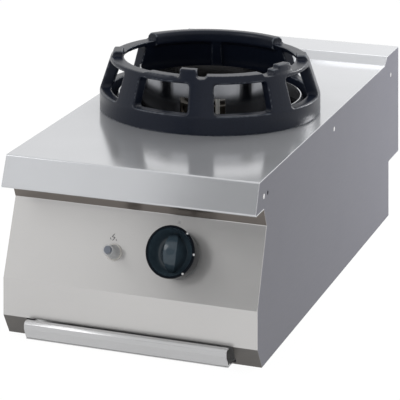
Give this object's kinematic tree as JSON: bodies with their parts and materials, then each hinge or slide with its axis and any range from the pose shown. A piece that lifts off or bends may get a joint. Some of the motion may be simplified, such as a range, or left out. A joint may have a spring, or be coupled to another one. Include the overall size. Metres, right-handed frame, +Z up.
{
  "type": "wok range",
  "caption": "Counter-top gas wok range with a cast ring, burner well, leaning control panel, turn knob, push igniter and drip tray.",
  "frame": {"origin": "middle of the footprint's bounding box, on the counter", "axes": "+Z up, +Y from the cook to the rear, +X to the cook's right"},
  "size_m": [0.4, 0.9176, 0.371],
  "materials": {
    "steel": "satin, fine grain along the front",
    "side_steel": "satin",
    "dark_steel": "dull dark underside",
    "bright_steel": "bright turned",
    "polished_steel": "polished",
    "tray_steel": "satin",
    "zinc_steel": "zinc coated",
    "cast_iron": "satin black enamel",
    "black_enamel": "glossy black enamel",
    "burner_iron": "bare casting",
    "brass": "turned",
    "ceramic": "glazed",
    "rubber": "heat-proof sleeve",
    "black_plastic": "glossy",
    "grey_plastic": "semi-gloss",
    "pale_plastic": "pale moulding",
    "skirt_steel": "blued by heat",
    "clear_plastic": "clear, slightly milky",
    "aluminium": "cast"
  },
  "bodies": {
    "casing": {"cooktop": "steel", "well_collar": "steel", "control_panel": "steel", "toe_panel": "dark_steel", "rear_upstand": "steel", "back_panel": "steel", "side_panel_left": "side_steel", "side_panel_right": "side_steel", "link_screws": "bright_steel", "base_foot_left": "zinc_steel", "base_foot_right": "zinc_steel", "base_web_left": "zinc_steel", "base_web_right": "zinc_steel", "base_front": "zinc_steel", "base_rear": "zinc_steel", "heat_shield": "zinc_steel", "tray_runner_left": "zinc_steel", "tray_runner_right": "zinc_steel", "bowl_floor": "black_enamel", "bowl_collar": "black_enamel", "bowl_wall": "black_enamel", "bowl_hanger": "black_enamel", "burner_skirt": "skirt_steel", "burner_body": "burner_iron", "burner_chamber": "burner_iron", "venturi_tube": "burner_iron", "burner_bracket": "zinc_steel", "injector_holder": "brass", "injector": "brass", "pilot_bracket": "bright_steel", "pilot_burner": "bright_steel", "spark_electrode": "ceramic", "thermocouple": "bright_steel", "gas_manifold": "zinc_steel", "feed_pipe": "bright_steel", "pilot_pipe": "bright_steel", "probe_lead": "rubber", "ignition_lead": "rubber", "gas_valve": "aluminium", "valve_bracket": "zinc_steel", "igniter_body": "black_plastic", "igniter_nut": "pale_plastic", "igniter_sleeve": "clear_plastic", "gas_inlet": "bright_steel", "inlet_nut": "bright_steel"},
    "ring": {"ring_band": "cast_iron", "ring_posts": "cast_iron", "ring_back": "cast_iron", "ring_rim": "cast_iron"},
    "crown": {"burner_crown": "brass"},
    "cap": {"burner_cap": "burner_iron"},
    "plunger": {"push_rod": "bright_steel"},
    "knob": {"valve_stem": "bright_steel", "knob": "black_plastic"},
    "button": {"igniter_button": "grey_plastic"},
    "tray": {"drip_tray": "tray_steel", "tray_handle": "polished_steel"}
  },
  "joints": [
    {"name": "ring_lift", "type": "slide", "parent": "casing", "child": "ring", "axis": [0, 0, 1], "range_m": [0, 0.1]},
    {"name": "crown_lift", "type": "slide", "parent": "casing", "child": "crown", "axis": [0, 0, 1], "range_m": [0, 0.05]},
    {"name": "cap_lift", "type": "slide", "parent": "crown", "child": "cap", "axis": [0, 0, 1], "range_m": [0, 0.03]},
    {"name": "knob_push", "type": "slide", "parent": "casing", "child": "plunger", "axis": [0, 0.9206, -0.3904], "range_m": [0, 0.005], "stiffness_N_per_m": 2000, "springref_m": -0.005},
    {"name": "knob_turn", "type": "hinge", "parent": "plunger", "child": "knob", "pos_m": [0.0705, -0.40627, 0.14827], "axis": [0, -0.9206, 0.3904], "range_deg": [0, 140]},
    {"name": "igniter_push", "type": "slide", "parent": "casing", "child": "button", "axis": [0, 0.9206, -0.3904], "range_m": [0, 0.005], "stiffness_N_per_m": 800, "springref_m": -0.004},
    {"name": "tray_slide", "type": "slide", "parent": "casing", "child": "tray", "axis": [0, -1, 0], "range_m": [0, 0.5]}
  ]
}
